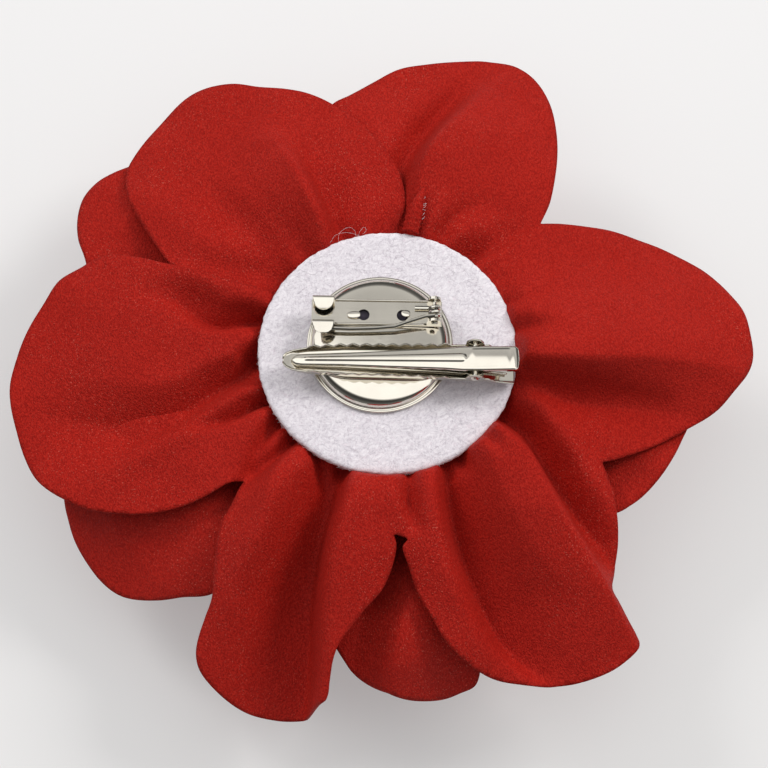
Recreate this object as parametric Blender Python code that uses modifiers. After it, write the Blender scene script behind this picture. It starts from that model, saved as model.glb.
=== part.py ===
"""Flower hair clip, lying face down with its metal clip and brooch pin upward.

Metres, +Z up, +X from the clip's jaw tip towards its finger tail. The origin is the centre of
the footprint, on the surface the flower rests on.
"""

import math

import bmesh
import bpy
from mathutils import Vector

MM = 0.001
GAP = 0.3

# Flower, millimetres from the centre of the felt disc, heights below the felt's outer face.
BACK_HEIGHT = 33.7
FELT_CENTRE = (1.05, 1.8)
FELT_RADIUS = 25.0
FELT_THICKNESS = 1.8
GLUE_THICKNESS = 0.4
FABRIC_THICKNESS = 0.9
HUB_RADIUS = 7.0
THREAD_RADIUS = 0.4
STIFFENER_RADIUS = 17.0

# Each lobe: the angle where it starts, the angle where it ends, how far it reaches.
BACK_LOBES = [(-84, -27, 75), (-27, 44, 72), (44, 82, 74), (82, 152, 71), (152, 222, 74), (222, 276, 74)]
SECOND_LOBES = [(-116, -56, 68), (-56, 6, 61), (6, 66, 58), (66, 126, 58), (126, 184, 72), (184, 244, 70)]
THIRD_LOBES = [(0, 60, 62), (60, 120, 62), (120, 180, 62), (180, 240, 62), (240, 300, 62), (300, 360, 62)]
INNER_LOBES = [(30, 90, 44), (90, 150, 44), (150, 210, 44), (210, 270, 44), (270, 330, 44), (330, 390, 44)]

# Metal pad under the clip and the brooch bar.
HARDWARE_TURN = math.radians(-1.0)
PAD_CENTRE = (-1.3, 1.45)
PAD_RADIUS = 14.0
PAD_TOP = 3.0
PAD_WALL = 0.5

# Brooch bar, catch and hinge.
BAR_CENTRE = (-2.0, 6.7)
BAR_LENGTH = 25.0
BAR_WIDTH = 5.0
SHEET = 0.5
BAR_TOP = PAD_TOP + GAP + SHEET
PRONG_X = (-4.5, 3.0)
PRONG_Y = 6.2
CATCH_X = -12.2
CATCH_LENGTH = 4.2
CATCH_HEIGHT = 5.8
HINGE_X = 9.1
HINGE_Z = 5.3
HINGE_RIVET_RADIUS = 0.35
NEEDLE_RADIUS = 0.4
NEEDLE_COIL_RADIUS = 0.9

# Alligator clip.
CLIP_Y = -3.6
PIVOT_X = 16.9
PIVOT_Z = 5.5
PIN_RADIUS = 0.5
PIN_RUN = 0.1
LOWER_HALF_WIDTH = 3.5
LOWER_GRIP_HALF_WIDTH = 2.6
UPPER_HALF_WIDTH = 2.5
LOWER_FLOOR = PAD_TOP + GAP
TOOTH_PITCH = 2.5
TOOTH_COUNT = 11
SPRING_COIL_RADIUS = 0.9
SPRING_WIRE_RADIUS = 0.22


def clear_scene():
    for obj in list(bpy.data.objects):
        bpy.data.objects.remove(obj, do_unlink=True)


def material(name, colour, roughness, metallic):
    mat = bpy.data.materials.new(name)
    mat.use_nodes = True
    shader = mat.node_tree.nodes["Principled BSDF"]
    shader.inputs["Base Color"].default_value = (*colour, 1.0)
    shader.inputs["Roughness"].default_value = roughness
    shader.inputs["Metallic"].default_value = metallic
    return mat


def link(obj, collection, parent=None):
    collection.objects.link(obj)
    obj.parent = parent
    return obj


def add_mesh(name, mesh, parent, mat=None):
    obj = bpy.data.objects.new(name, mesh)
    if mat:
        mesh.materials.append(mat)
    return link(obj, PARTS, parent)


def smooth(mesh, angle=35.0):
    mesh.shade_smooth()
    edges = bmesh.new()
    edges.from_mesh(mesh)
    for edge in edges.edges:
        if len(edge.link_faces) == 2 and edge.calc_face_angle() > math.radians(angle):
            edge.smooth = False
    edges.to_mesh(mesh)
    edges.free()


def evaluated_mesh(obj):
    """Take the finished mesh out of a curve or a modified object and drop the object."""
    bpy.context.view_layer.update()
    graph = bpy.context.evaluated_depsgraph_get()
    mesh = bpy.data.meshes.new_from_object(obj.evaluated_get(graph))
    weld = bmesh.new()
    weld.from_mesh(mesh)
    bmesh.ops.remove_doubles(weld, verts=weld.verts, dist=0.00001)
    bmesh.ops.recalc_face_normals(weld, faces=weld.faces)
    weld.to_mesh(mesh)
    weld.free()
    mesh.transform(obj.matrix_world)
    bpy.data.objects.remove(obj, do_unlink=True)
    return mesh


def plate(points, low, high, side=False):
    """Extrude a closed outline; a side outline is drawn in X and Z and extruded across Y."""
    curve = bpy.data.curves.new("outline", "CURVE")
    curve.dimensions = "2D"
    curve.fill_mode = "BOTH"
    curve.extrude = (high - low) / 2 * MM
    spline = curve.splines.new("POLY")
    spline.points.add(len(points) - 1)
    for point, (u, v) in zip(spline.points, points):
        point.co = (u * MM, v * MM, 0, 1)
    spline.use_cyclic_u = True
    obj = link(bpy.data.objects.new("outline", curve), CUTTERS)
    middle = (low + high) / 2 * MM
    if side:
        obj.rotation_euler = (math.pi / 2, 0, 0)
        obj.location = (0, middle, 0)
    else:
        obj.location = (0, 0, middle)
    return evaluated_mesh(obj)


def wire(points, radius, resolution=2):
    """Round wire along a polyline, its ends capped."""
    curve = bpy.data.curves.new("wire", "CURVE")
    curve.dimensions = "3D"
    curve.bevel_depth = radius * MM
    curve.bevel_resolution = resolution
    curve.use_fill_caps = True
    spline = curve.splines.new("POLY")
    spline.points.add(len(points) - 1)
    for point, co in zip(spline.points, points):
        point.co = (co[0] * MM, co[1] * MM, co[2] * MM, 1)
        point.radius = co[3] if len(co) > 3 else 1.0
    return evaluated_mesh(link(bpy.data.objects.new("wire", curve), CUTTERS))


def turned(profile, steps, centre=(0, 0, 0), along_y=False):
    """Turn a profile of (radius, height) pairs, given from the top down its outer side."""
    mesh = bpy.data.meshes.new("profile")
    verts = [(r * MM, 0, h * MM) for r, h in profile]
    edges = [(i, i + 1) for i in range(len(verts) - 1)]
    if profile[0][0] > 0:
        edges.append((len(verts) - 1, 0))
    mesh.from_pydata(verts, edges, [])
    obj = link(bpy.data.objects.new("turned", mesh), CUTTERS)
    screw = obj.modifiers.new("turn", "SCREW")
    screw.steps = steps
    screw.render_steps = steps
    screw.use_merge_vertices = True
    screw.merge_threshold = 0.00001
    if along_y:
        obj.rotation_euler = (math.pi / 2, 0, 0)
    obj.location = [c * MM for c in centre]
    return evaluated_mesh(obj)


def box(low, high):
    cube = bmesh.new()
    bmesh.ops.create_cube(cube, size=1.0)
    for vert in cube.verts:
        vert.co = Vector([(lo + (c + 0.5) * (hi - lo)) * MM for c, lo, hi in zip(vert.co, low, high)])
    mesh = bpy.data.meshes.new("box")
    cube.to_mesh(mesh)
    cube.free()
    return mesh


def rod(radius, low, high, x, z, steps=16):
    """Plain round bar across Y."""
    return turned([(0, -low), (radius, -low), (radius, -high), (0, -high)], steps, (x, 0, z), along_y=True)


def boolean(base, tool, operation):
    """Cut, join or intersect two meshes and return the result."""
    body = link(bpy.data.objects.new("body", base), CUTTERS)
    cutter = link(bpy.data.objects.new("cutter", tool), CUTTERS)
    modifier = body.modifiers.new(operation.lower(), "BOOLEAN")
    modifier.operation = operation
    modifier.solver = "EXACT"
    modifier.object = cutter
    mesh = evaluated_mesh(body)
    bpy.data.objects.remove(cutter, do_unlink=True)
    return mesh


def join_all(base, tools):
    for tool in tools:
        base = boolean(base, tool, "UNION")
    return base


def arc(cx, cy, radius, start, end, steps):
    span = [math.radians(start + (end - start) * i / steps) for i in range(steps + 1)]
    return [(cx + radius * math.cos(a), cy + radius * math.sin(a)) for a in span]


def sheet_curve(points, t):
    """Radius and height at a fraction of the length of a layer's side profile."""
    lengths = [0.0]
    for (r0, z0), (r1, z1) in zip(points, points[1:]):
        lengths.append(lengths[-1] + math.hypot(r1 - r0, z1 - z0))
    reach = t * lengths[-1]
    for i in range(len(points) - 1):
        if reach <= lengths[i + 1] or i == len(points) - 2:
            k = (reach - lengths[i]) / (lengths[i + 1] - lengths[i])
            (r0, z0), (r1, z1) = points[i], points[i + 1]
            return r0 + (r1 - r0) * k, z0 + (z1 - z0) * k


def lobe_reach(lobes, notch, degrees):
    """Distance to the cut edge of a lobed fabric blank in one direction."""
    for start, end, reach in lobes:
        around = (degrees - start) % 360
        if around <= end - start:
            t = abs(2 * around / (end - start) - 1)
            return notch + (reach - notch) * max(0.0, 1 - t ** 2.6) ** 0.5
    return notch


def fabric_layer(name, lobes, notch, profile, ripple, parent, mat, rings=6, steps=54):
    """One lobed fabric blank: a turned disc drawn out to its lobes, gathered and thickened."""
    mesh = bpy.data.meshes.new(name)
    radii = [HUB_RADIUS + i for i in range(rings + 1)]
    mesh.from_pydata([(r * MM, 0, 0) for r in radii], [(i, i + 1) for i in range(rings)], [])
    obj = link(bpy.data.objects.new(name, mesh), CUTTERS)
    screw = obj.modifiers.new("turn", "SCREW")
    screw.steps = steps
    screw.render_steps = steps
    screw.use_merge_vertices = True
    screw.merge_threshold = 0.00001
    sheet = evaluated_mesh(obj)
    longest = max(reach for _, _, reach in lobes)
    for vert in sheet.vertices:
        angle = math.atan2(vert.co.y, vert.co.x)
        s = (math.hypot(vert.co.x, vert.co.y) / MM - HUB_RADIUS) / rings
        edge = lobe_reach(lobes, notch, math.degrees(angle))
        limit = (edge - HUB_RADIUS) / (longest - HUB_RADIUS)
        r, z = sheet_curve(profile, s * limit)
        z += ripple * s * math.sin(12 * angle)
        vert.co = (r * MM * math.cos(angle), r * MM * math.sin(angle), z * MM)
    thick = link(bpy.data.objects.new(name, sheet), CUTTERS)
    solidify = thick.modifiers.new("cloth", "SOLIDIFY")
    solidify.thickness = FABRIC_THICKNESS * MM
    solidify.offset = 0.0
    done = evaluated_mesh(thick)
    smooth(done, 50.0)
    return add_mesh(name, done, parent, mat)


def flower(back, fabric, glue, thread, board):
    """Fabric layers from the felt side to the front, with the pieces that hold them."""
    fabric_layer("petals_back", BACK_LOBES, 42, [(7, -3.2), (24, -3.4), (45, -5.0), (75, -10.5)],
                 0.8, back, fabric)
    fabric_layer("petals_second", SECOND_LOBES, 40, [(7, -5.9), (24, -6.4), (45, -10.0), (72, -17.0)],
                 0.8, back, fabric)
    fabric_layer("petals_third", THIRD_LOBES, 40, [(7, -10.6), (22, -11.1), (36, -15.5), (45, -23.0), (49, -33.4)],
                 0.3, back, fabric)
    fabric_layer("petals_inner", INNER_LOBES, 28, [(7, -12.6), (15, -13.5), (24, -18.0), (29, -24.0), (31, -33.0)],
                 0.2, back, fabric, rings=5, steps=48)
    bud(back, fabric)
    disc("felt_glue", 19.0, -FELT_THICKNESS - GAP, GLUE_THICKNESS, back, glue)
    thread_ring("gathering_thread_back", 9.5, -4.4, back, thread)
    thread_ring("gathering_thread_second", 9.5, -7.2, back, thread)
    disc("stiffener_disc", STIFFENER_RADIUS, -8.1, 0.8, back, board)
    disc("front_glue", STIFFENER_RADIUS - 3.0, -9.2, GLUE_THICKNESS, back, glue)
    thread_ring("gathering_thread_front", 9.5, -11.8, back, thread)


def disc(name, radius, top, thickness, parent, mat):
    mesh = turned([(0, top), (radius, top), (radius, top - thickness), (0, top - thickness)], 40)
    smooth(mesh)
    return add_mesh(name, mesh, parent, mat)


def thread_ring(name, radius, height, parent, mat):
    """Thread drawn tight through the gathers, closed by its knot."""
    section = [(radius + x, height + y) for x, y in arc(0, 0, THREAD_RADIUS, 90, -210, 5)]
    mesh = turned(section, 36)
    smooth(mesh, 80.0)
    return add_mesh(name, mesh, parent, mat)


def bud(parent, mat):
    """Rolled centre: a strip of the same cloth wound on itself, read here as its outer body."""
    profile = [(0, -14.1), (6.0, -14.1), (9.5, -16.0), (12.5, -21.0), (13.5, -27.0), (12.0, -31.0),
               (9.5, -32.6), (7.5, -31.0), (5.0, -29.5), (0, -29.0)]
    mesh = turned(profile, 30)
    for vert in mesh.vertices:
        angle = math.atan2(vert.co.y, vert.co.x)
        swell = 1.0 + 0.05 * math.sin(5 * angle)
        vert.co = (vert.co.x * swell, vert.co.y * swell, vert.co.z)
    smooth(mesh, 60.0)
    return add_mesh("bud", mesh, parent, mat)


def felt(parent, mat):
    r, t, soft = FELT_RADIUS, FELT_THICKNESS, 0.25
    profile = [(0, 0), (r - 9.0, 0), (r - soft, 0), (r, -soft), (r, soft - t), (r - soft, -t), (0, -t)]
    mesh = turned(profile, 64)
    smooth(mesh, 50.0)
    return add_mesh("felt_backing", mesh, parent, mat)


def mounting_pad(parent, mat):
    """Stamped cup with a rolled foot, its two prongs lanced up and folded over the bar."""
    r, top, w = PAD_RADIUS, PAD_TOP, PAD_WALL
    profile = [(0, top), (r - 2.6, top), (r - 1.7, top - 0.3), (r - 1.1, top - 0.9), (r - 0.9, top - 1.8),
               (r - 0.3, top - 1.95), (r, top - 2.2), (r, GAP), (r - 1.3, GAP), (r - 1.5, top - 1.2),
               (r - 2.0, top - w - 0.2), (r - 2.8, top - w), (0, top - w)]
    mesh = turned(profile, 56, (*PAD_CENTRE, 0))
    low, high = BAR_TOP + GAP, BAR_TOP + GAP + 0.35
    for x, way, length in ((PRONG_X[0], -1, 3.2), (PRONG_X[1], 1, 1.5)):
        leg = box((x - 0.18, PRONG_Y - 0.7, top - 0.3), (x + 0.18, PRONG_Y + 0.7, high))
        ends = sorted((x - way * 0.18, x + way * length))
        tongue = box((ends[0], PRONG_Y - 0.7, low), (ends[1], PRONG_Y + 0.7, high + 0.0001))
        mesh = join_all(mesh, [boolean(leg, tongue, "UNION")])
    smooth(mesh)
    return add_mesh("mounting_pad", mesh, parent, mat)


def pad_glue(parent, mat):
    mesh = turned([(0, PAD_TOP - PAD_WALL - GAP), (10.5, PAD_TOP - PAD_WALL - GAP), (11.9, 1.2), (11.9, GAP),
                   (0, GAP)], 40, (*PAD_CENTRE, 0))
    smooth(mesh)
    return add_mesh("pad_glue", mesh, parent, mat)


def brooch_bar(parent, mat):
    """Strip with two punched holes, its catch and hinge ears bent up from both long edges."""
    cx, cy = BAR_CENTRE
    x0, x1 = cx - BAR_LENGTH / 2, cx + BAR_LENGTH / 2
    y0, y1 = cy - BAR_WIDTH / 2, cy + BAR_WIDTH / 2
    low = BAR_TOP - SHEET
    mesh = box((x0, y0, low), (x1, y1, BAR_TOP))
    for x in PRONG_X:
        hole = turned([(0, BAR_TOP + 1), (1.15, BAR_TOP + 1), (1.15, low - 1), (0, low - 1)], 20, (x, PRONG_Y, 0))
        mesh = boolean(mesh, hole, "DIFFERENCE")
    left, right = CATCH_X - CATCH_LENGTH / 2, CATCH_X + CATCH_LENGTH / 2
    for edge in (y0, y1 - SHEET):
        wall = box((left, edge, low + 0.02), (right, edge + SHEET, CATCH_HEIGHT))
        flap = [(left, edge + SHEET - 0.02), (right, edge + SHEET - 0.02)]
        flap += [(CATCH_X + 2.0 * c, edge - 2.2 * s) for c, s in arc(0, 0, 1, 0, 180, 10)]
        tongue = plate(flap, CATCH_HEIGHT - SHEET, CATCH_HEIGHT - 0.02)
        mesh = join_all(mesh, [boolean(wall, tongue, "UNION")])
    tab = [(HINGE_X - 1.6, low + 0.03), (HINGE_X + 1.2, low + 0.03)]
    tab += arc(HINGE_X, HINGE_Z, 1.2, 0, 180, 10)
    for edge in (y0, y1 - SHEET):
        mesh = boolean(mesh, plate(tab, edge + 0.01, edge + SHEET - 0.01, side=True), "UNION")
    mesh = boolean(mesh, rod(HINGE_RIVET_RADIUS + PIN_RUN, y0 - 1, y1 + 1, HINGE_X, HINGE_Z), "DIFFERENCE")
    smooth(mesh)
    return add_mesh("brooch_bar", mesh, parent, mat)


def brooch_rivet(parent, mat):
    y0, y1 = BAR_CENTRE[1] - BAR_WIDTH / 2, BAR_CENTRE[1] + BAR_WIDTH / 2
    r, head = HINGE_RIVET_RADIUS, 0.7
    profile = [(0, -y0 + 0.45), (head * 0.7, -y0 + 0.4), (head, -y0 + 0.1), (r, -y0 + 0.1),
               (r, -y1 - 0.1), (head, -y1 - 0.1), (head * 0.7, -y1 - 0.4), (0, -y1 - 0.45)]
    mesh = turned(profile, 16, (HINGE_X, 0, HINGE_Z), along_y=True)
    smooth(mesh)
    return add_mesh("brooch_hinge_rivet", mesh, parent, mat)


def brooch_needle(parent, mat):
    """Sprung wire: short leg on the bar, coil on the rivet, needle out to the catch."""
    r, x, z = NEEDLE_COIL_RADIUS, HINGE_X, HINGE_Z
    start_y, end_y = 7.6, 5.35
    path = [(5.3, start_y, z - r), (7.4, start_y, z - r)]
    turns, steps = 2.5, 30
    for i in range(steps + 1):
        a = -math.pi / 2 + 2 * math.pi * turns * i / steps
        y = start_y + (end_y - start_y) * i / steps
        path.append((x + r * math.cos(a), y, z + r * math.sin(a)))
    path += [(7.4, 5.15, 6.1), (4.6, 4.4, 5.5), (1.6, 3.5, 4.8), (-2.5, 3.15, 4.55), (-7.0, 3.0, 4.45)]
    path += [(-10.5, 3.1, 4.4), (-12.2, 3.2, 4.4, 0.6), (-13.6, 3.3, 4.4, 0.15)]
    mesh = wire(path, NEEDLE_RADIUS)
    smooth(mesh, 80.0)
    return hinged("brooch_needle", mesh, (HINGE_X, (start_y + end_y) / 2, HINGE_Z), parent, mat)


def hinged(name, mesh, pivot, parent, mat):
    """Give a moving piece an origin on its joint axis."""
    for vert in mesh.vertices:
        vert.co = vert.co - Vector(pivot) * MM
    obj = add_mesh(name, mesh, parent, mat)
    obj.location = Vector(pivot) * MM
    return obj


def mirrored_plan(half):
    """Close a plan outline given as (x, half width) pairs about the clip's centre line."""
    return [(x, CLIP_Y - w) for x, w in half] + [(x, CLIP_Y + w) for x, w in reversed(half)]


def lower_jaw(parent, mat):
    """Channel with toothed side walls, ears round the pin and a dropped tail plate."""
    half = LOWER_HALF_WIDTH
    grip = LOWER_GRIP_HALF_WIDTH
    plan = [(-19.6, 0.7), (-19.2, 1.4), (-18.0, 1.9), (-15.0, 2.1), (-8.0, grip), (6.0, grip + 0.25)]
    plan += [(14.5, half), (21.5, half), (24.4, 3.1)]
    inner = [(-18.7, 0.4), (-17.8, 1.3), (-15.0, 1.6), (-8.0, grip - SHEET), (6.0, grip + 0.25 - SHEET)]
    inner += [(14.5, half - SHEET), (21.5, half - SHEET), (26, 2.6)]
    f = LOWER_FLOOR
    under = [(-19.6, f + 0.5), (-18.0, f + 0.1), (-15.5, f), (18.6, f), (24.4, 1.3)]
    top = [(24.4, 2.3), (19.6, 5.0)] + arc(PIVOT_X, PIVOT_Z, 1.75, 20, 160, 8) + [(13.2, 5.0)]
    for i in range(TOOTH_COUNT):
        base = 12.4 - i * TOOTH_PITCH
        top += [(base, 4.9), (base - TOOTH_PITCH / 2, 5.8 - 0.05 * i)]
    top += [(-15.6, 4.8), (-17.8, 4.5), (-19.6, 4.3)]
    silhouette = plate(under + top, -9, 3, side=True)
    body = boolean(plate(mirrored_plan(plan), 0, 9), silhouette, "INTERSECT")
    s = SHEET
    hollow_side = [(-20, f + s + 0.5), (-18.0, f + s + 0.1), (-15.5, f + s), (18.6, f + s), (26, 1.05 + s)]
    hollow = plate(hollow_side + [(26, 12), (-20, 12)], -9, 3, side=True)
    hollow = boolean(hollow, plate(mirrored_plan(inner), 0, 14), "INTERSECT")
    body = boolean(body, hollow, "DIFFERENCE")
    body = boolean(body, rod(PIN_RADIUS + PIN_RUN, -9, 3, PIVOT_X, PIVOT_Z, 20), "DIFFERENCE")
    smooth(body)
    return add_mesh("clip_lower_jaw", body, parent, mat)


def roof(x):
    """Height of the upper jaw's top face."""
    return 5.0 + (x + 17.8) * 0.0665


def upper_jaw(parent, mat):
    """Tapered channel with a pressed rib, hooked tip and rounded finger tail."""
    half = UPPER_HALF_WIDTH
    plan = [(-17.8, 0.6), (-17.3, 0.95), (-16.4, 1.1), (-8.7, 1.3), (0.7, 1.75), (11.0, 2.2), (14.5, half)]
    plan += [(24.6, half - 0.05), (25.1, 1.9), (25.4, 0.8)]
    inner = [(-17.2, 0.3), (-16.2, 0.6), (-8.7, 1.3 - SHEET), (0.7, 1.75 - SHEET), (11.0, 2.2 - SHEET)]
    inner += [(14.5, half - SHEET), (23.9, half - SHEET - 0.05), (24.8, 0.9)]
    upper = [(-17.9, roof(-17.9) - 0.35), (-17.2, roof(-17.2)), (24.2, roof(24.2)), (25.5, roof(25) - 0.5)]
    lower = [(25.5, 6.5), (20.0, 6.3)] + arc(PIVOT_X, PIVOT_Z, 1.3, -20, -160, 6) + [(13.5, 5.2)]
    lower += [(0.0, 4.7), (-15.8, 4.5), (-17.9, 4.35)]
    silhouette = plate(upper + lower, -9, 3, side=True)
    body = boolean(plate(mirrored_plan(plan), 2, 12), silhouette, "INTERSECT")
    s = SHEET
    inside = plate([(-18, roof(-18) - s), (26, roof(26) - s), (26, 1), (-18, 1)], -9, 3, side=True)
    inside = boolean(inside, plate(mirrored_plan(inner), -1, 14), "INTERSECT")
    body = boolean(body, inside, "DIFFERENCE")
    body = boolean(body, rod(PIN_RADIUS + PIN_RUN, -9, 3, PIVOT_X, PIVOT_Z, 20), "DIFFERENCE")
    rib = [(-15.6, CLIP_Y + 0.25)] + [(14.4 + u, CLIP_Y + v) for u, v in arc(0, 0, 0.65, 90, -90, 6)]
    rib += [(-15.6, CLIP_Y - 0.25)]
    bead = plate(rib, -0.25, 0.25)
    slope = math.atan(0.0665)
    for vert in bead.vertices:
        vert.co.z = vert.co.z * math.cos(slope) + roof(vert.co.x / MM) * MM
    body = boolean(body, bead, "UNION")
    smooth(body)
    return hinged("clip_upper_jaw", body, (PIVOT_X, CLIP_Y, PIVOT_Z), parent, mat)


def pivot_pin(parent, mat):
    end, head = LOWER_HALF_WIDTH + 0.1, 0.95
    y0, y1 = CLIP_Y - end, CLIP_Y + end
    r = PIN_RADIUS
    profile = [(0, -y0 + 0.45), (head * 0.6, -y0 + 0.38), (head, -y0 + 0.1), (head, -y0), (r, -y0),
               (r, -y1), (head, -y1), (head, -y1 - 0.1), (head * 0.6, -y1 - 0.38), (0, -y1 - 0.45)]
    mesh = turned(profile, 20, (PIVOT_X, 0, PIVOT_Z), along_y=True)
    smooth(mesh)
    return add_mesh("clip_pivot_pin", mesh, parent, mat)


def clip_spring(parent, mat):
    """Torsion spring round the pin, one leg under each finger tail."""
    r, x, z = SPRING_COIL_RADIUS, PIVOT_X, PIVOT_Z
    path = [(23.0, CLIP_Y - 1.5, 2.75), (20.4, CLIP_Y - 1.5, 3.9), (18.6, CLIP_Y - 1.45, z - r - 0.05)]
    turns, steps = 4.5, 54
    for i in range(steps + 1):
        a = -math.pi / 2 - 2 * math.pi * turns * i / steps
        path.append((x + r * math.cos(a), CLIP_Y - 1.4 + 2.8 * i / steps, z + r * math.sin(a)))
    path += [(18.6, CLIP_Y + 1.45, z + r), (22.8, CLIP_Y + 1.5, z + r + 0.35)]
    mesh = wire(path, SPRING_WIRE_RADIUS, resolution=1)
    smooth(mesh, 80.0)
    return add_mesh("clip_spring", mesh, parent, mat)


def build():
    fabric = material("red_crepe", (0.42, 0.022, 0.018), 0.8, 0.0)
    white_felt = material("white_felt", (0.8, 0.76, 0.8), 0.95, 0.0)
    nickel = material("nickel", (0.62, 0.57, 0.5), 0.22, 1.0)
    steel = material("spring_steel", (0.55, 0.53, 0.5), 0.3, 1.0)
    glue = material("glue", (0.85, 0.82, 0.72), 0.4, 0.0)
    thread = material("red_thread", (0.35, 0.02, 0.02), 0.7, 0.0)
    board = material("stiff_board", (0.75, 0.72, 0.66), 0.9, 0.0)

    back = link(bpy.data.objects.new("felt_centre", None), PARTS)
    back.location = (FELT_CENTRE[0] * MM, FELT_CENTRE[1] * MM, BACK_HEIGHT * MM)
    hardware = link(bpy.data.objects.new("hardware_turn", None), PARTS, back)
    hardware.rotation_euler = (0, 0, HARDWARE_TURN)

    flower(back, fabric, glue, thread, board)
    felt(back, white_felt)
    pad_glue(hardware, glue)
    mounting_pad(hardware, nickel)
    brooch_bar(hardware, nickel)
    brooch_rivet(hardware, steel)
    brooch_needle(hardware, steel)
    lower_jaw(hardware, nickel)
    upper_jaw(hardware, nickel)
    pivot_pin(hardware, steel)
    clip_spring(hardware, steel)


clear_scene()
PARTS = bpy.data.collections.new("flower_hair_clip")
CUTTERS = bpy.data.collections.new("construction")
bpy.context.scene.collection.children.link(PARTS)
bpy.context.scene.collection.children.link(CUTTERS)
build()
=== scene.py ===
"""Looks for the flower hair clip: fabric petals, felt, nickel hardware, floor, light and camera."""
import math

import bpy
import bmesh
import numpy as np
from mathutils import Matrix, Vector
from mathutils.geometry import delaunay_2d_cdt
from mathutils.kdtree import KDTree


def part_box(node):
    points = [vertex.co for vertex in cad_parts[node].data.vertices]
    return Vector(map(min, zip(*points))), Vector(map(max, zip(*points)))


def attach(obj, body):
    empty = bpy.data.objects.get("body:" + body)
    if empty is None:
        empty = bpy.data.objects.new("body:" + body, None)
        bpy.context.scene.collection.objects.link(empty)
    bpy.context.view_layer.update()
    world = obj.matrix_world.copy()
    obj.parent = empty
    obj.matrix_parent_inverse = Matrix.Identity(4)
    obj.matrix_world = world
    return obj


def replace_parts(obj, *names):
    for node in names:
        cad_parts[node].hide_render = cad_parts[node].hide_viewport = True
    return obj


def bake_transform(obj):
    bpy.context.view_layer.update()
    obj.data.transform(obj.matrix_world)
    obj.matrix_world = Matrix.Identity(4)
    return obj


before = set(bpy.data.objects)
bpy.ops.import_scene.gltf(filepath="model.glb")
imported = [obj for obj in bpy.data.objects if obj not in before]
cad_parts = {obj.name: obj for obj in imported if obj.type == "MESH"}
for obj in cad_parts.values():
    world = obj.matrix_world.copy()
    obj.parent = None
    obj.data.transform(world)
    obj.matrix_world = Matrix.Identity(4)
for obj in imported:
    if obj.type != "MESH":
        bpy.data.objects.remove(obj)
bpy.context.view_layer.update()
MM = 0.001
low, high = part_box("felt_backing")
CENTRE = np.array([(low.x + high.x) / 2, (low.y + high.y) / 2, high.z]) / MM
RNG = np.random.default_rng(7)
AMBIENT = 0.57  # strength of the soft dome
GLINT = 1.45  # strength of what the metal reflects
KEY = 23.5  # watts of the right key light
LEFT_KEY_SHARE = 0.7
CLOTH = 0.4  # thickness of the petal cloth
GATHER_RADIUS = 14  # inner edge of each petal sheet, hidden under the felt
PLEAT_START = 24  # radius where the short gathers begin to fade
FELT_UNDERSIDE = -1.95
SOUTH_START = 32  # distance south from which the petals hang lower
LENS_TILT = math.radians(69)
LENS_DISTANCE = 0.6  # metres from the camera to the point it looks at
LENS_LENGTH = 146.25  # focal length in millimetres
AIM_LEFT, AIM_BELOW = 0.000481, 0.006058  # metres from the felt's centre to that point

# ---------------------------------------------------------------- materials


class Graph:
    """Small helper for building node materials."""

    def __init__(self, name):
        self.mat = bpy.data.materials.new(name)
        self.mat.use_nodes = True
        self.tree = self.mat.node_tree
        self.shader = self.tree.nodes["Principled BSDF"]
        self.coord = self.tree.nodes.new("ShaderNodeTexCoord").outputs["Object"]

    def node(self, kind, inputs=None, **props):
        node = self.tree.nodes.new(kind)
        for key, value in props.items():
            setattr(node, key, value)
        for key, value in (inputs or {}).items():
            if isinstance(value, bpy.types.NodeSocket):
                self.tree.links.new(value, node.inputs[key])
            else:
                node.inputs[key].default_value = value
        return node

    def noise(self, scale, detail=3.0, rough=0.55, stretch=None, vector=None):
        source = vector or self.coord
        if stretch:
            source = self.node("ShaderNodeMapping", {"Vector": source, "Scale": stretch}).outputs[0]
        node = self.node("ShaderNodeTexNoise", {"Vector": source, "Scale": scale, "Detail": detail,
                                                "Roughness": rough})
        return node.outputs["Fac"]

    def ramp(self, value, stops):
        node = self.node("ShaderNodeValToRGB", {"Fac": value})
        elements = node.color_ramp.elements
        while len(elements) < len(stops):
            elements.new(0.5)
        for element, (place, colour) in zip(elements, stops):
            element.position = place
            element.color = colour if len(colour) == 4 else (*colour, 1.0)
        return node.outputs["Color"]

    def math(self, operation, a, b=0.0, clamp=False):
        return self.node("ShaderNodeMath", {0: a, 1: b}, operation=operation, use_clamp=clamp).outputs[0]

    def mix(self, factor, a, b, blend="MIX"):
        node = self.node("ShaderNodeMix", {"Factor": factor}, data_type="RGBA", blend_type=blend)
        for slot, value in ((6, a), (7, b)):
            if isinstance(value, bpy.types.NodeSocket):
                self.tree.links.new(value, node.inputs[slot])
            else:
                node.inputs[slot].default_value = (*value, 1.0)
        return node.outputs[2]

    def bump(self, height, distance, strength=1.0, below=None):
        inputs = {"Height": height, "Distance": distance, "Strength": strength}
        if below:
            inputs["Normal"] = below
        return self.node("ShaderNodeBump", inputs).outputs[0]

    def bend(self, amount, x, y):
        """Object coordinates pushed sideways by a noise value."""
        push = self.node("ShaderNodeCombineXYZ", {0: self.math("MULTIPLY", amount, x),
                                                  1: self.math("MULTIPLY", amount, y)}).outputs[0]
        return self.node("ShaderNodeVectorMath", {0: self.coord, 1: push}, operation="ADD").outputs[0]

    def set(self, **values):
        for key, value in values.items():
            slot = self.shader.inputs[key.replace("_", " ")]
            if isinstance(value, bpy.types.NodeSocket):
                self.tree.links.new(value, slot)
            else:
                slot.default_value = value
        return self.mat


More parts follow.
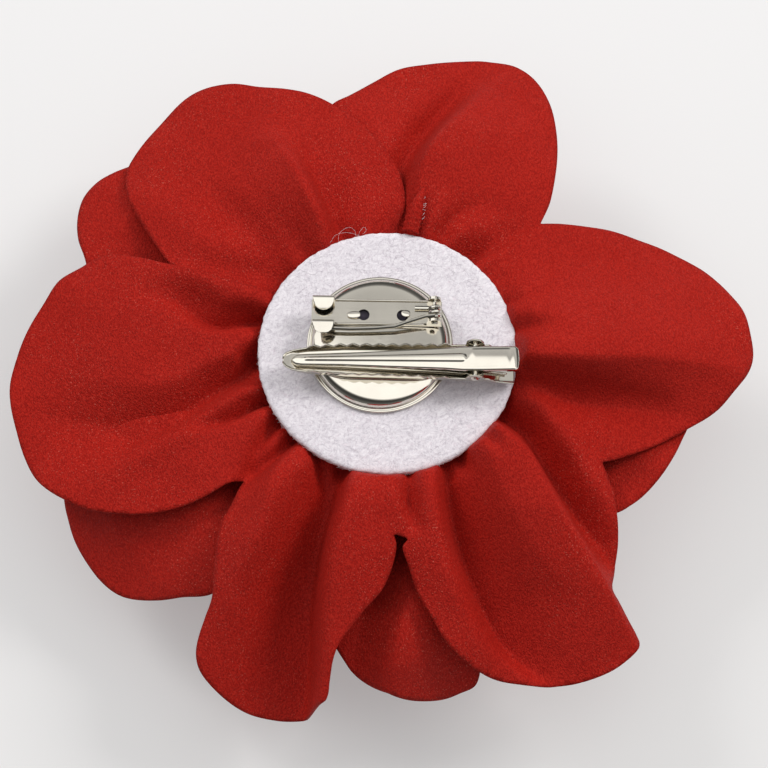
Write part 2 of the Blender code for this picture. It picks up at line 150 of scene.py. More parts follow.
def crepe():
    """Red crepe: pebbled crinkle over a fine weave, its colour lighter on the crinkle tops as painted
    highlight and darker in the hollows as painted shade, small painted glints, darker heat-cut edge.
    """
    g = Graph("red_crepe_cloth")
    warp = g.noise(420, 2.0)
    bent = g.bend(warp, 0.0012, -0.0010)
    crinkle = g.noise(2900, 1.5, 0.5, (1.35, 0.75, 1.0), bent)
    fine = g.noise(5200, 1.0, 0.5)
    height = g.math("ADD", crinkle, g.math("MULTIPLY", fine, 0.45))
    tone = g.ramp(g.noise(60, 3.0), [(0.3, (0.340, 0.0100, 0.0058)), (0.7, (0.370, 0.0120, 0.0072))])
    # crinkle tone plus painted light: paler, lighter tops as painted highlight and darker hollows as painted
    # shade
    crinkle_tone_and_painted_light = g.ramp(height, [(0.56, (0.66, 0.50, 0.50)), (0.725, (1.0, 1.0, 1.0)), (0.88, (1.28, 1.9, 1.8))])
    colour = g.mix(0.7, tone, crinkle_tone_and_painted_light, "MULTIPLY")
    edge = g.node("ShaderNodeAttribute", attribute_name="edge").outputs["Fac"]
    colour = g.mix(g.math("MULTIPLY", edge, 0.15), colour, (0.12, 0.005, 0.004))
    # painted glints: small bright points in patches, a painted highlight in the base colour
    painted_glint = g.ramp(g.noise(3900, 0.0), [(0.70, (0, 0, 0)), (0.80, (1, 1, 1))])
    painted_glint_patch = g.ramp(g.noise(45, 2.0), [(0.42, (0.15, 0.15, 0.15)), (0.62, (1, 1, 1))])
    colour = g.mix(g.math("MULTIPLY", g.math("MULTIPLY", painted_glint, painted_glint_patch), 0.35), colour, (0.80, 0.22, 0.16))
    bump = g.bump(height, 0.00026, 0.9)
    return g.set(Base_Color=colour, Roughness=0.62, Specular_IOR_Level=0.12, Sheen_Weight=0.02,
                 Sheen_Roughness=0.4, Sheen_Tint=(1.0, 0.45, 0.4, 1.0), Normal=bump)


def felt_cloth():
    """White needled felt with matted fibres and faint lilac and pink flecks."""
    g = Graph("white_felt_cloth")
    warp = g.noise(300, 3.0)
    bent = g.bend(warp, 0.004, 0.003)
    matted = g.noise(1900, 5.0, 0.8, (0.5, 1.0, 1.0), bent)
    crossed = g.noise(2100, 5.0, 0.8, (1.0, 0.5, 1.0), bent)
    mixed = g.math("MULTIPLY", g.math("ADD", matted, crossed), 0.5)
    colour = g.ramp(mixed, [(0.38, (0.52, 0.48, 0.53)), (0.5, (0.745, 0.705, 0.755)),
                            (0.60, (0.86, 0.825, 0.865))])
    fleck = g.ramp(g.noise(800, 4.0, 0.7), [(0.58, (0, 0, 0)), (0.68, (1, 1, 1))])
    colour = g.mix(g.math("MULTIPLY", fleck, 0.30), colour, (0.66, 0.52, 0.60))
    bump = g.bump(mixed, 0.00030, 0.6)
    return g.set(Base_Color=colour, Roughness=0.95, Specular_IOR_Level=0.1, Sheen_Weight=0.15,
                 Sheen_Roughness=0.6, Normal=bump)


def fibre():
    g = Graph("felt_fibre")
    tone = g.ramp(g.noise(500, 2.0), [(0.35, (0.74, 0.70, 0.76)), (0.65, (0.93, 0.90, 0.93))])
    return g.set(Base_Color=tone, Roughness=0.7, Specular_IOR_Level=0.3)


def nickel(name, base, roughness, wear=0.5):
    """Bright nickel plate: rolling marks, faint haze and handling scuffs."""
    g = Graph(name)
    haze = g.noise(130, 4.0)
    marks = g.noise(900, 3.0, 0.6, (0.08, 1.0, 1.0))
    rough = g.math("ADD", roughness, g.math("MULTIPLY", g.math("SUBTRACT", haze, 0.5), 0.10 * wear))
    rough = g.math("ADD", rough, g.math("MULTIPLY", g.math("SUBTRACT", marks, 0.5), 0.08 * wear), True)
    tint = tuple(c * 0.90 for c in base)
    colour = g.ramp(haze, [(0.3, tint), (0.7, base)])
    bump = g.bump(marks, 0.000012, 0.25 * wear)
    bump = g.bump(g.noise(70, 2.0), 0.00020, 0.12, bump)
    return g.set(Base_Color=colour, Roughness=rough, Metallic=1.0, Normal=bump)


def plain(name, dark, light, scale, roughness, bump=0.0001):
    g = Graph(name)
    n = g.noise(scale, 4.0, 0.6)
    return g.set(Base_Color=g.ramp(n, [(0.3, dark), (0.7, light)]), Roughness=roughness,
                 Normal=g.bump(n, bump, 0.6))


CREPE = crepe()
FELT = felt_cloth()
NICKEL = nickel("nickel_plate", (0.74, 0.70, 0.62), 0.10)
STEEL = nickel("spring_steel_wire", (0.66, 0.63, 0.56), 0.14)
# near-black material for the painted shade inside the pad's lanced holes
SHADE = plain("painted_shade_hollow", (0.020, 0.016, 0.024), (0.05, 0.042, 0.06), 900, 0.9)

# ---------------------------------------------------------------- mesh tools


def make(name, verts, faces, mat, body="flower", smooth=True):
    """New object from points in millimetres, riding on a body."""
    mesh = bpy.data.meshes.new(name)
    mesh.from_pydata((np.asarray(verts) * MM).tolist(), [], [list(f) for f in faces])
    mesh.update()
    if smooth:
        mesh.shade_smooth()
    mesh.materials.append(mat)
    obj = bpy.data.objects.new(name, mesh)
    bpy.context.scene.collection.objects.link(obj)
    if body:
        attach(obj, body)
    return obj


def clean(obj, distance):
    """Merge points closer than a distance in metres and turn every face outward."""
    work = bmesh.new()
    work.from_mesh(obj.data)
    bmesh.ops.remove_doubles(work, verts=work.verts, dist=distance)
    bmesh.ops.recalc_face_normals(work, faces=work.faces)
    work.to_mesh(obj.data)
    work.free()
    return obj


def spline(points, count):
    """Catmull-Rom through the points, resampled at equal steps of length."""
    p = np.asarray(points, float)
    q = np.vstack([2 * p[0] - p[1], p, 2 * p[-1] - p[-2]])
    fine = []
    for i in range(1, len(q) - 2):
        t = np.linspace(0, 1, 24, endpoint=False)[:, None]
        a, b, c, d = q[i - 1], q[i], q[i + 1], q[i + 2]
        fine.append(0.5 * (2 * b + (c - a) * t + (2 * a - 5 * b + 4 * c - d) * t ** 2
                           + (3 * b - a - 3 * c + d) * t ** 3))
    fine = np.vstack(fine + [p[-1:]])
    length = np.concatenate([[0], np.cumsum(np.linalg.norm(np.diff(fine, axis=0), axis=1))])
    want = np.linspace(0, length[-1], count)
    return np.stack([np.interp(want, length, fine[:, k]) for k in range(p.shape[1])], axis=1)


def step(x, a, b):
    t = np.clip((x - a) / (b - a), 0, 1)
    return t * t * (3 - 2 * t)


def wander(x, y, scale, seed):
    """Smooth value noise from a few rotated waves, the same on every run."""
    rng = np.random.default_rng(seed)
    total = np.zeros_like(x)
    for _ in range(7):
        angle, phase, k = rng.uniform(0, math.tau), rng.uniform(0, math.tau), rng.uniform(0.6, 1.7)
        total += np.sin((x * math.cos(angle) + y * math.sin(angle)) * k / scale * math.tau / 2 + phase)
    return total / 3.5


# ---------------------------------------------------------------- petals
# Lobe outlines and fold lines are plan positions in millimetres from the felt's centre.

LOBES_BACK = {
    "east": [
        (41.0, -21.1), (44.7, -19.9), (50.6, -17.4), (57.7, -13.3), (63.6, -9.3), (67.1, -5.5), (70.0, -1.7),
        (71.2, 2.1), (70.8, 6.8), (69.7, 11.6), (67.1, 15.5), (63.2, 19.4), (59.4, 21.9), (54.6, 24.4),
        (50.0, 26.0), (44.0, 27.8), (38.1, 28.7), (33.2, 29.1), (30.2, 28.9)],
    "north_east": [
        (30.2, 28.9), (32.4, 34.5), (33.8, 42.7), (34.0, 49.9), (32.8, 57.2), (30.1, 62.8), (26.1, 66.4),
        (21.1, 67.7), (17.0, 67.8), (8.8, 66.6), (2.8, 65.5), (-2.3, 62.4), (-7.3, 58.9), (-11.3, 56.3),
        (-13.7, 50.2), (-10.2, 41.8), (-4.8, 33.9)],
    "north_west": [
        (2.3, 27.7), (3.7, 32.2), (3.3, 36.7), (1.7, 41.3), (-1.3, 46.4), (-5.3, 51.5), (-10.3, 56.0),
        (-15.4, 58.8), (-20.4, 60.3), (-25.5, 61.3), (-31.2, 62.3), (-36.7, 61.2), (-41.6, 57.8),
        (-46.5, 51.6), (-50.3, 45.9), (-51.8, 42.0), (-51.6, 37.8), (-50.5, 34.2), (-46.6, 27.0),
        (-42.8, 21.2), (-40.0, 18.4), (-34.4, 15.3), (-26.5, 12.4)],
    "west": [
        (-23.4, 13.8), (-30.5, 15.9), (-36.4, 17.9), (-42.3, 20.2), (-48.4, 22.4), (-53.4, 23.6),
        (-57.4, 22.9), (-59.9, 21.6), (-64.2, 18.9), (-67.0, 14.6), (-69.8, 9.7), (-72.0, 4.0), (-73.3, -1.9),
        (-73.1, -6.5), (-71.9, -11.7), (-69.9, -17.8), (-67.0, -23.0), (-62.5, -26.7), (-56.6, -29.3),
        (-48.8, -30.5), (-42.1, -30.3), (-35.4, -28.3), (-29.8, -25.5), (-27.1, -24.8)],
    "south_west": [
        (-27.1, -24.8), (-29.3, -29.8), (-31.2, -33.0), (-32.1, -37.4), (-32.6, -43.1), (-32.9, -47.8),
        (-34.2, -51.4), (-35.5, -55.1), (-36.0, -58.2), (-35.3, -61.2), (-33.0, -64.2), (-29.6, -67.0),
        (-25.7, -68.8), (-20.9, -69.5), (-16.2, -69.4), (-12.1, -69.0), (-11.0, -67.7), (-10.6, -64.8),
        (-10.0, -61.2), (-8.7, -57.9), (-6.5, -54.8), (-4.1, -51.6), (-1.2, -48.3), (0.6, -44.6),
        (1.6, -41.2), (1.8, -39.0), (1.3, -37.6)],
    "south_east": [
        (1.5, -37.3), (4.0, -38.3), (3.0, -39.8), (4.3, -43.6), (5.9, -48.3), (8.5, -52.9),
        (11.3, -57.5), (14.7, -60.6), (17.5, -62.3),
        (21.3, -63.7), (26.9, -64.5), (32.6, -64.6), (38.2, -63.4), (43.0, -61.3), (46.8, -58.2),
        (47.8, -56.2), (47.1, -54.3), (45.6, -51.9), (43.8, -48.8), (42.5, -46.4), (43.1, -42.6),
        (43.9, -37.9), (44.0, -34.0), (43.7, -30.2), (43.2, -27.3), (42.1, -24.0), (41.0, -21.1)],
}
LOBES_SECOND = {
    "west_north": dict(base=(122, 172), lift=2.4, shift=-1.5, edge=[
        (-31.3, 39.6), (-39.7, 47.3), (-47.2, 48.0), (-50.6, 45.9), (-54.6, 43.9), (-57.9, 41.8),
        (-60.4, 38.5),
        (-61.4, 34.0), (-61.0, 29.3), (-59.6, 25.1), (-57.0, 16.5), (-50.5, 9.4), (-40.5, 6.5)]),
    "west_south": dict(base=(184, 236), lift=4.0, droop=10.0, shift=0.2, edge=[
        (-52.0, -5.3), (-60.2, -10.8), (-63.2, -17.6), (-62.6, -24.7), (-61.7, -28.7), (-60.4, -32.7),
        (-58.3, -36.7), (-55.4, -40.8), (-52.1, -43.7), (-48.2, -45.4), (-43.3, -46.3), (-38.5, -46.3),
        (-33.1, -46.1), (-27.0, -43.1), (-21.3, -35.7), (-19.4, -29.1)]),
    "south": dict(base=(250, 300), lift=3.2, droop=8.0, shift=-0.4, edge=[
        (-10.8, -38.8), (-11.5, -46.3), (-10.7, -53.8), (-7.9, -59.0), (-5.6, -61.8), (-2.2, -64.3),
        (1.6, -66.0), (5.4, -66.5), (10.1, -65.9), (13.9, -64.4), (17.2, -62.4), (17.6, -57.0), (14.5, -49.0),
        (11.5, -40.5)]),
    "east_south": dict(base=(318, 368), lift=2.4, shift=-0.9, edge=[
        (33.4, -24.6), (37.2, -29.3), (43.4, -29.3), (47.0, -27.4), (49.9, -25.0), (53.0, -21.5),
        (55.4, -17.7),
        (57.1, -14.1), (58.6, -10.5), (59.4, -4.7), (55.7, 2.3), (47.8, 4.9), (39.8, 4.3)]),
    "east_north": dict(base=(14, 62), lift=0.0, edge=[
        (40.0, 9.0), (47.0, 11.0), (51.0, 15.0), (50.0, 19.0), (45.0, 22.0), (38.0, 24.5), (31.0, 26.5),
        (26.0, 31.0)]),
    "north": dict(base=(70, 118), lift=0.0, edge=[
        (14.0, 36.0), (17.0, 46.0), (13.0, 56.0), (5.0, 60.0), (-5.0, 59.0), (-13.0, 54.0), (-18.0, 46.0),
        (-17.0, 36.0)]),
}

# Fold: sheet it belongs to, line, heights along it, reach to its left and right (looking outward, a pair
# runs from the line's start to its end) and which sides are creased.
FOLDS_BACK = [
    ("main", [(-5.0, -19.0), (-6.5, -24.0), (-8.2, -30.0), (-10.2, -36.0), (-11.6, -46.0), (-12.0, -58.0),
              (-12.6, -69.0)], [2.0, 3.5, 5.0, 5.5, 5.5, 5.0, 4.5], 22.0, 1.9, "r"),
    ("main", [(-7.6, -20.0), (-9.0, -25.0), (-10.9, -31.0), (-13.0, -38.0), (-14.4, -47.0), (-15.0, -58.0),
              (-16.0, -68.0)], [-3.0, -5.0, -6.6, -7.6, -8.0, -8.0, -7.6], 2.2, (2.0, 14.0), ""),
    ("main", [(-14.0, -14.0), (-18.0, -19.0), (-21.0, -25.5), (-23.0, -33.5), (-26.0, -39.5), (-29.0, -47.5),
              (-31.0, -57.5)], [1.6, 2.8, 4.8, 6.0, 5.2, 3.4, 1.5], 7.0, (3.5, 7.0), "r"),
    ("main", [(-13.0, -18.0), (-12.6, -23.0), (-12.2, -28.0)], [-3.0, -3.0, -0.5], 1.5, 1.6, ""),
    ("main", [(17.0, -12.5), (21.0, -16.2), (26.0, -20.8), (30.0, -26.8), (34.0, -33.8), (38.0, -39.8),
              (43.0, -48.6), (47.5, -56.6)], [2.5, 5.0, 6.6, 7.0, 6.8, 5.8, 4.2, 2.0], (1.6, 3.2), 13.0, "l"),
    ("main", [(10.0, -18.0), (11.2, -22.0), (12.0, -30.0), (14.0, -38.0), (18.0, -48.0), (23.0, -56.0),
              (32.0, -63.0)],
     [-3.0, -5.5, -6.5, -6.8, -5.8, -3.6, -0.4], (5.0, 13.0), 1.7, "l"),
    ("main", [(8.6, -19.0), (8.8, -25.0), (9.2, -33.0), (10.5, -41.0), (14.0, -51.0), (20.0, -60.5)],
     [1.5, 2.2, 2.8, 2.8, 1.8, 0.2], 1.8, 6.0, ""),
    ("main", [(17.0, -14.5), (19.4, -17.6), (21.6, -21.0)], [-2.4, -2.6, -0.4], 1.3, 1.3, ""),
    ("main", [(13.0, -18.0), (15.0, -22.0), (16.5, -25.0)], [-2.0, -2.2, -0.4], 1.4, 1.4, ""),
    ("main", [(4.0, -19.0), (4.0, -29.4), (5.2, -35.3)], [-3.0, -3.6, -1.2], 1.9, 1.2, ""),
    ("main", [(20.0, -8.5), (22.8, -11.8), (26.6, -15.2), (29.8, -20.5), (33.4, -28.4), (37.8, -36.0),
              (41.0, -43.0)],
     [-3.4, -4.1, -4.3, -4.2, -3.6, -2.6, -1.0], (2.4, 5.5), 1.6, ""),
    ("main", [(24.9, -7.3), (29.0, -10.2), (33.6, -16.6), (38.5, -25.0), (42.5, -31.5)],
     [1.6, 2.8, 2.8, 2.2, 0.8], 3.5, 3.2, ""),
    ("main", [(20.0, -1.4), (26.0, -2.2), (31.5, -3.0), (41.1, -2.8), (50.9, -1.6), (59.0, -1.4),
              (67.0, -1.6)],
     [2.4, 5.6, 7.6, 8.0, 6.8, 5.4, 4.0], 19.0, (1.6, 8.5), "r"),
    ("main", [(24.6, -5.4), (30.3, -6.6), (40.9, -7.0), (52.6, -8.2)],
     [-1.5, -2.0, -2.0, -1.0], 2.0, 7.0, ""),
    ("main", [(20.3, 5.4), (26.6, 4.9), (32.4, 4.4)], [-3.0, -2.2, -0.3], 2.0, 1.4, "l"),
    ("main", [(3.0, 22.0), (2.0, 33.5), (3.0, 41.0), (7.2, 48.8), (12.8, 55.8), (17.4, 61.4)],
     [-0.6, -1.8, -3.2, -3.3, -2.5, -0.8], 2.8, 3.0, ""),
    ("main", [(6.8, 22.0), (6.0, 33.0), (8.0, 41.4), (12.0, 48.2), (16.6, 54.2), (21.2, 60.0)],
     [0.8, 3.0, 5.2, 5.2, 3.6, 1.2], (2.2, 4.4), 13.0, "l"),
    ("main", [(-3.0, 18.0), (-5.0, 34.0), (-9.0, 45.0), (-13.0, 52.0)],
     [-0.5, -2.2, -2.4, -1.0], 8.0, 4.0, ""),
    ("main", [(12.5, 17.0), (17.4, 21.2), (21.2, 23.4), (27.7, 28.0)],
     [-3.2, -3.8, -2.2, -0.8], 3.4, 1.6, "l"),
    ("main", [(9.0, 21.0), (11.0, 26.0), (14.4, 29.8), (18.4, 31.6)], [-2.2, -2.4, -1.4, -0.3], 1.6, 2.4, ""),
    ("north_west", [(-10.5, 18.0), (-12.5, 24.0), (-14.5, 30.0), (-18.0, 38.0), (-22.0, 46.0)],
     [1.5, 3.6, 4.8, 4.4, 2.0], (3.0, 7.0), 2.6, "l"),
    ("north_west", [(-8.0, 19.0), (-9.3, 25.6), (-10.6, 29.8), (-13.1, 35.8), (-16.2, 41.8)],
     [-2.5, -3.0, -2.8, -2.2, -0.6], 1.2, 6.0, "r"),
    ("north_west", [(-15.0, 14.5), (-20.0, 19.0), (-25.0, 24.0), (-31.0, 30.5), (-38.0, 38.5)],
     [-1.6, -2.4, -3.4, -3.2, -1.0], 6.0, 5.0, ""),
    ("north_west", [(-15.8, 15.0), (-28.7, 24.0), (-38.7, 30.8), (-47.0, 36.2)],
     [0.4, 1.0, 1.0, 0.4], 6.0, 9.0, ""),
    ("north_west", [(-18.0, 13.6), (-24.0, 17.2), (-30.0, 18.6), (-40.0, 20.5)],
     [-2.4, -2.8, -2.4, -1.0], 6.0, 3.6, ""),
    ("north_west", [(1.6, 22.0), (0.6, 27.5), (0.8, 33.0)], [-2.0, -1.6, -0.3], 2.0, 1.4, ""),
    ("main", [(-19.4, 12.0), (-29.4, 14.4), (-36.3, 16.6), (-46.3, 19.3)],
     [0.6, 1.4, 1.4, 0.6], 3.0, 4.0, ""),
    ("main", [(-20.0, 7.8), (-25.0, 8.3), (-29.0, 7.9), (-33.0, 7.6), (-37.0, 9.6), (-41.0, 12.4),
              (-46.0, 13.6)],
     [-3.0, -4.4, -4.6, -4.6, -3.2, -1.6, -0.4], 1.6, (1.5, 6.0), "r"),
    ("main", [(-20.5, 3.0), (-25.0, 1.0), (-28.0, -2.5), (-33.0, -5.5), (-38.0, -9.0), (-44.0, -11.5),
              (-52.0, -11.8), (-60.0, -10.8), (-67.0, -9.0)],
     [-4.0, -5.0, -5.6, -5.4, -5.0, -4.4, -3.6, -2.4, -0.8], (3.0, 10.0), (1.6, 7.0), "r"),
    ("main", [(-24.0, -3.9), (-28.0, -7.4), (-34.0, -11.2), (-40.0, -14.8), (-48.0, -18.8), (-54.0, -22.0)],
     [1.6, 2.6, 3.2, 3.0, 2.0, 0.8], 3.4, 2.4, ""),
    ("main", [(-21.0, -7.5), (-25.0, -9.6), (-29.0, -11.8), (-34.0, -13.2), (-39.0, -14.0)],
     [-2.6, -3.8, -3.8, -2.4, -0.5], 1.3, (1.8, 3.2), "r"),
    ("main", [(-18.6, -11.2), (-22.0, -14.5), (-24.5, -18.5), (-26.0, -21.5)],
     [-2.6, -3.2, -2.0, -0.4], 1.5, 1.5, ""),
    ("main", [(-15.0, -13.5), (-20.0, -19.4), (-24.4, -23.0), (-26.7, -24.9)],
     [-3.0, -4.2, -3.6, -1.6], 1.8, 2.0, ""),
]
FOLDS_SECOND = [
    ("main", [(5.4, -36.0), (4.4, -46.0), (2.4, -56.0), (-0.5, -66.0)], [1.0, 3.4, 5.4, 4.6], 9.0, 6.0, "r"),
    ("main", [(-33.0, -25.0), (-42.0, -34.0), (-50.0, -42.0)], [-0.6, -1.8, -1.4], 5.0, 8.0, ""),
    ("main", [(-35.0, 25.0), (-46.0, 33.0), (-57.0, 38.0)], [0.6, 1.4, 1.0], 7.0, 5.0, ""),
    ("main", [(35.0, -10.0), (46.0, -16.0), (54.0, -20.0)], [0.6, 1.4, 1.0], 6.0, 5.0, ""),
]
BASE_BACK = ([14, 21, 24, 26, 29, 33, 45, 58, 72], [-3.6, -3.4, -2.6, -1.4, -1.1, -1.7, -3.6, -6.2, -9.5])
BASE_SECOND = ([14, 25, 38, 50, 60, 72], [-6.4, -8.5, -11.3, -11.0, -10.6, -13.0])


def flank(q, crisp):
    """Cross-section of one side of a fold: a rounded swell, or a crease that falls away straight."""
    return np.clip(1 - q / 1.35, 0, None) ** 1.3 if crisp else np.exp(-q * q)


def fold_height(x, y, line, heights, left, right, crisp=""):
    """Height a fold adds at each point: full on its line, fading to each side by its own reach."""
    n = len(line)
    reach = [np.linspace(*v, n) if isinstance(v, tuple) else np.full(n, float(v)) for v in (left, right)]
    p = spline(np.column_stack([line, heights, *reach]), 60)
    best = np.full(x.shape, 1e9)
    value = np.zeros_like(x)
    for a, b in zip(p[:-1], p[1:]):
        dx, dy = b[:2] - a[:2]
        size = dx * dx + dy * dy
        t = np.clip(((x - a[0]) * dx + (y - a[1]) * dy) / size, 0, 1)
        ox, oy = x - a[0] - t * dx, y - a[1] - t * dy
        d = np.hypot(ox, oy)
        lean = 0.5 + 0.5 * (dx * oy - dy * ox) / (math.sqrt(size) * np.maximum(d, 1e-6))
        h, wl, wr = (a[k] + (b[k] - a[k]) * t for k in (2, 3, 4))
        here = h * (lean * flank(d / wl, "l" in crisp) + (1 - lean) * flank(d / wr, "r" in crisp))
        near = d < best
        value = np.where(near, here, value)
        best = np.where(near, d, best)
    return value


def pleats(x, y, seed, count, depth, reach):
    """Short gathers where the cloth is drawn in at the middle."""
    rng = np.random.default_rng(seed)
    angle, r = np.arctan2(y, x), np.hypot(x, y)
    past = np.clip(r - PLEAT_START, 0, None)
    total = np.zeros_like(x)
    for i in range(count):
        centre = math.tau * (i + rng.uniform(-0.4, 0.4)) / count
        lean = rng.uniform(-0.010, 0.010)
        size = depth * rng.uniform(0.25, 1.0)
        out = reach * rng.uniform(0.5, 1.6)
        width = rng.uniform(0.30, 0.62) * math.tau / count
        skew = rng.uniform(0.55, 1.8)
        d = (angle - centre - lean * (r - 20) + math.pi) % math.tau - math.pi
        w = width * np.where(d > 0, skew, 1 / skew)
        total -= size * np.exp(-np.abs(d / w) ** 1.6) * np.exp(-(past / out) ** 1.3)
    return total + depth * 0.35 * np.exp(-past / reach)


def grid_faces(nu, nv, offset):
    i, j = np.meshgrid(np.arange(nu - 1), np.arange(nv - 1), indexing="ij")
    a = offset + i * nv + j
    return np.stack([a, a + nv, a + nv + 1, a + 1], axis=2).reshape(-1, 4)


def grid_part(grid, edge):
    return grid.reshape(-1, 3), grid_faces(*grid.shape[:2], 0).tolist(), edge.ravel()


def base_arc(start, end):
    a = np.radians(np.linspace(start, end, max(4, int(abs(end - start) / 2))))
    return GATHER_RADIUS * np.stack([np.cos(a), np.sin(a)], axis=1)


def even_steps(loop, spacing):
    """Points at equal steps round a closed loop."""
    p = np.vstack([loop, loop[:1]])
    length = np.concatenate([[0], np.cumsum(np.linalg.norm(np.diff(p, axis=0), axis=1))])
    want = np.linspace(0, length[-1], int(length[-1] / spacing), endpoint=False)
    return np.stack([np.interp(want, length, p[:, k]) for k in (0, 1)], axis=1)


def distance_to(points, x, y):
    tree = KDTree(len(points))
    for i, (px, py) in enumerate(points):
        tree.insert((px, py, 0.0), i)
    tree.balance()
    return np.array([tree.find((px, py, 0.0))[2] for px, py in zip(x, y)])


def cloth_patch(cuts, arc, base, folds, gathers, lift=0.0, droop=0.0, shift=0.0, spacing=0.75, seed=3):
    """Even triangle mesh inside a cut outline, with the folds' height at every point."""
    cut = np.vstack([spline(c, 10 * len(c)) for c in cuts]) * (1.0, 0.991) + (0.0, shift)
    cut[:, 1] += 0.038 * np.clip(-cut[:, 1] - SOUTH_START, 0, None)
    loop = even_steps(np.vstack([cut, base_arc(*arc)]), 0.5)
    low, high = loop.min(axis=0), loop.max(axis=0)
    xs, ys = np.arange(low[0], high[0], spacing), np.arange(low[1], high[1], spacing * 0.866)
    gx, gy = np.meshgrid(xs, ys)
    gx = gx + np.where(np.arange(len(ys)) % 2, spacing / 2, 0.0)[:, None]
    gx, gy = gx.ravel(), gy.ravel()
    keep = distance_to(loop, gx, gy) > 0.42
    inner = np.stack([gx[keep], gy[keep]], axis=1)
    every = np.vstack([loop, inner])
    n = len(loop)
    ring = [(i, (i + 1) % n) for i in range(n)]
    out = delaunay_2d_cdt([Vector(q) for q in every.tolist()], ring, [list(range(n))], 1, 1e-6)
    x, y = np.array([tuple(q) for q in out[0]]).T
    faces = [list(f) for f in out[2]]
    rim = distance_to(even_steps(cut, 0.2), x, y)
    r = np.hypot(x, y)
    z = np.interp(r, *base)
    for fold in folds:
        z = z + fold_height(x, y, *fold)
    z = z + pleats(x, y, *gathers)
    z = z + step(r, 26, 40) * (0.40 * wander(x, y, 17, seed) + 0.14 * wander(x, y, 6.5, seed + 2))
    z = z + 0.4 * wander(x, y, 9, seed + 5) * np.exp(-rim / 6.0) * step(r, 30, 40)
    z = z + lift * step(r, 30, 42) - droop * step(r, 46, 74) - 0.10 * np.clip(-y - SOUTH_START, 0, None)
    z = np.minimum(z, FELT_UNDERSIDE + 2.5 * np.clip(r - 24.3, 0, None))
    return np.stack([x, y, z], axis=1), faces, np.exp(-(rim / 0.45) ** 2)


def cloth_sheet(name, parts, node):
    """Join patches into one piece of cloth and give it its thickness."""
    verts, faces, edges, offset = [], [], [], 0
    for points, polygons, edge in parts:
        verts.append(points)
        faces += [[i + offset for i in f] for f in polygons]
        edges.append(edge)
        offset += len(points)
    obj = make(name, np.vstack(verts) + CENTRE, faces, CREPE, "flower")
    layer = obj.data.attributes.new("edge", "FLOAT", "POINT")
    layer.data.foreach_set("value", np.concatenate(edges).astype(np.float32))
    solid = obj.modifiers.new("cloth", "SOLIDIFY")
    solid.thickness = CLOTH * MM
    solid.offset = 0.0
    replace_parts(obj, node)
    return obj


def folds_of(table, sheet):
    return [fold[1:] for fold in table if fold[0] == sheet]


def back_petals():
    gathers = (21, 34, 2.0, 5.5)
    main = [LOBES_BACK[k] for k in ("west", "south_west", "south_east", "east", "north_east")]
    parts = [cloth_patch(main, (456, 149), BASE_BACK, folds_of(FOLDS_BACK, "main"), gathers, shift=-0.35),
             cloth_patch([LOBES_BACK["north_west"]], (160, 84), BASE_BACK,
                         folds_of(FOLDS_BACK, "north_west"), gathers, lift=0.7, shift=-0.35)]
    return cloth_sheet("petal_cloth_back", parts, "petals_back")


def second_petals():
    folds = folds_of(FOLDS_SECOND, "main")
    parts = []
    for k, spec in enumerate(LOBES_SECOND.values()):
        parts.append(cloth_patch([spec["edge"]], spec["base"][::-1], BASE_SECOND, folds, (22, 24, 1.6, 8.0),
                                 lift=spec["lift"], droop=spec.get("droop", 0.0),
                                 shift=spec.get("shift", -0.5), spacing=0.95, seed=30 + k))
    return cloth_sheet("petal_cloth_second", parts, "petals_second")


def cup_petals(name, node, profile, turn, spread, seed, nu=72, nv=64):
    """Six overlapping cupped lobes on the front of the flower."""
    prof = spline(profile, 200)
    along = np.linspace(0, 1, len(prof))
    parts = []
    for k in range(6):
        rng = np.random.default_rng(seed + k)
        u = np.linspace(-1, 1, nu)
        v = np.linspace(0, 1, nv)
        uu, vv = np.meshgrid(u, v, indexing="ij")
        tip = 1 - 0.30 * np.abs(uu) ** 3.2 + 0.02 * np.sin(uu * 6 + k) - rng.uniform(0, 0.05)
        s = vv * tip
        r, z = np.interp(s, along, prof[:, 0]), np.interp(s, along, prof[:, 1])
        half = math.radians(spread) * (0.66 + 0.42 * np.sin(np.clip(s, 0, 1) * 2.2))
        half = half * (1 - 0.2 * vv ** 4 * uu ** 2)
        angle = math.radians(turn + 60 * k + rng.uniform(-4, 4)) + uu * half
        tuck = (0.9 if k % 2 else -0.9) * step(vv, 0.15, 0.5)
        tuck = tuck + 1.3 * uu * step(vv, 0.1, 0.6)
        ridge = np.sin(uu * rng.uniform(3.0, 4.5) + rng.uniform(0, 6)) * 0.9 * np.sin(vv * math.pi)
        fine = 0.5 * np.sin(uu * 17 + k) * np.exp(-vv * 3.5)
        r = r + tuck + ridge + fine + 0.8 * np.sin(uu * 5 + 2 * k) * vv ** 3
        z = z + 0.5 * np.sin(uu * 7 + k) * vv ** 2 + 0.8 * (np.abs(uu) ** 2) * vv
        z = np.maximum(z, -CENTRE[2] + 0.45 + 0.3 * np.sin(uu * 9) ** 2)
        grid = np.stack([r * np.cos(angle), r * np.sin(angle), z], axis=2)
        parts.append(grid_part(grid, np.exp(-((1 - vv) * 34 / 0.5) ** 2)))
    return cloth_sheet(name, parts, node)


